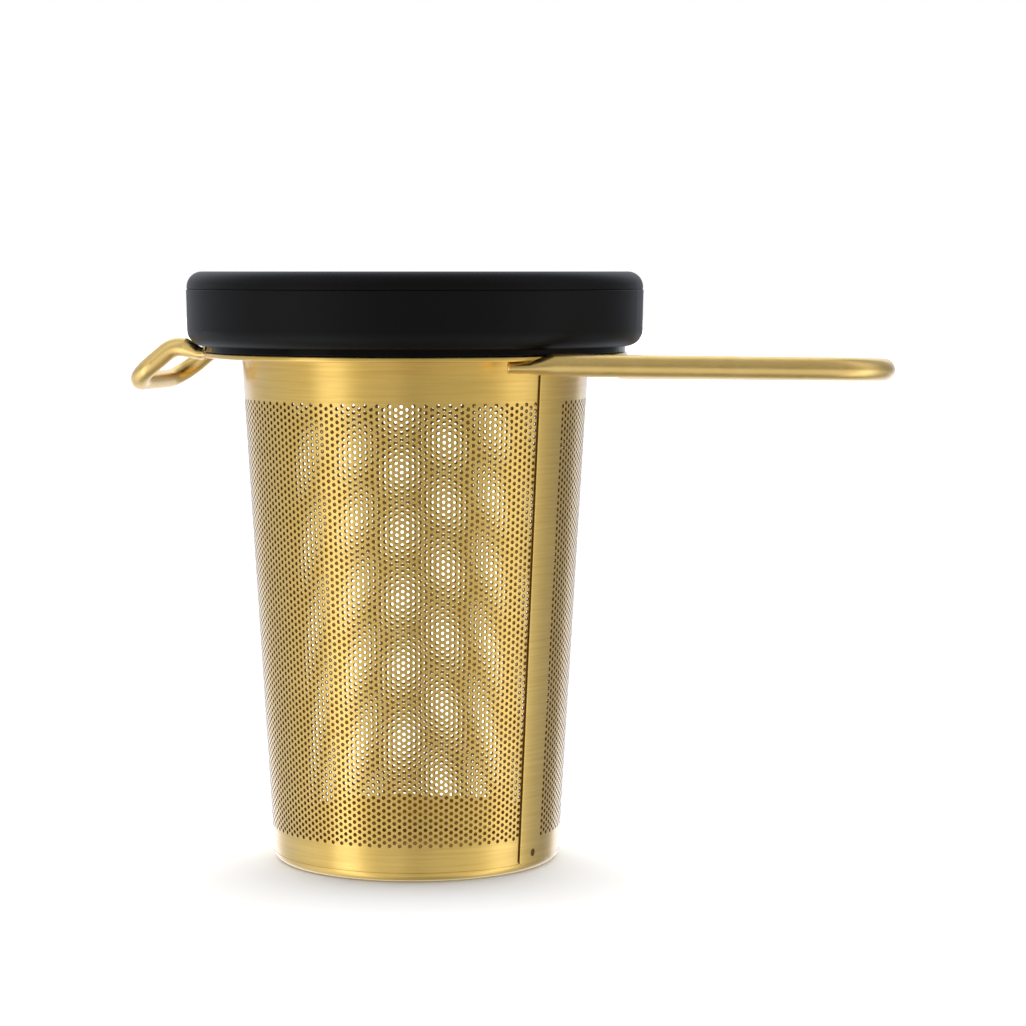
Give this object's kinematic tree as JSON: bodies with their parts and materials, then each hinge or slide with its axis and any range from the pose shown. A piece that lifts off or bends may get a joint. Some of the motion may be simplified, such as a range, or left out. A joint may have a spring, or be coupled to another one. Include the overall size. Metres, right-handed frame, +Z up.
{
  "type": "tea infuser",
  "caption": "Tapered perforated metal tea infuser basket that hangs by its rim in a mug, with a long wire handle, a short wire hook and a lift-off black lid.",
  "frame": {"origin": "middle of the flat base that the basket stands on", "axes": "+Z up along the basket's axis, +X along the long handle, the short hook points along -X"},
  "size_m": [0.1422, 0.0842, 0.1087],
  "materials": {
    "gold_metal": "gold coloured, finely brushed round the basket",
    "gold_wire": "gold coloured, satin",
    "lid_black": "matte, soft to the touch",
    "liner_black": "glossy"
  },
  "bodies": {
    "basket": {"basket_wall": "gold_metal", "rim_flange": "gold_metal", "base_cup": "gold_metal", "long_handle": "gold_wire", "hook": "gold_wire"},
    "lid": {"lid_body": "lid_black", "lid_cap": "lid_black", "lid_liner": "liner_black"}
  },
  "joints": [
    {"name": "lid_lift", "type": "slide", "parent": "basket", "child": "lid", "axis": [0, 0, 1], "range_m": [0, 0.035]}
  ]
}
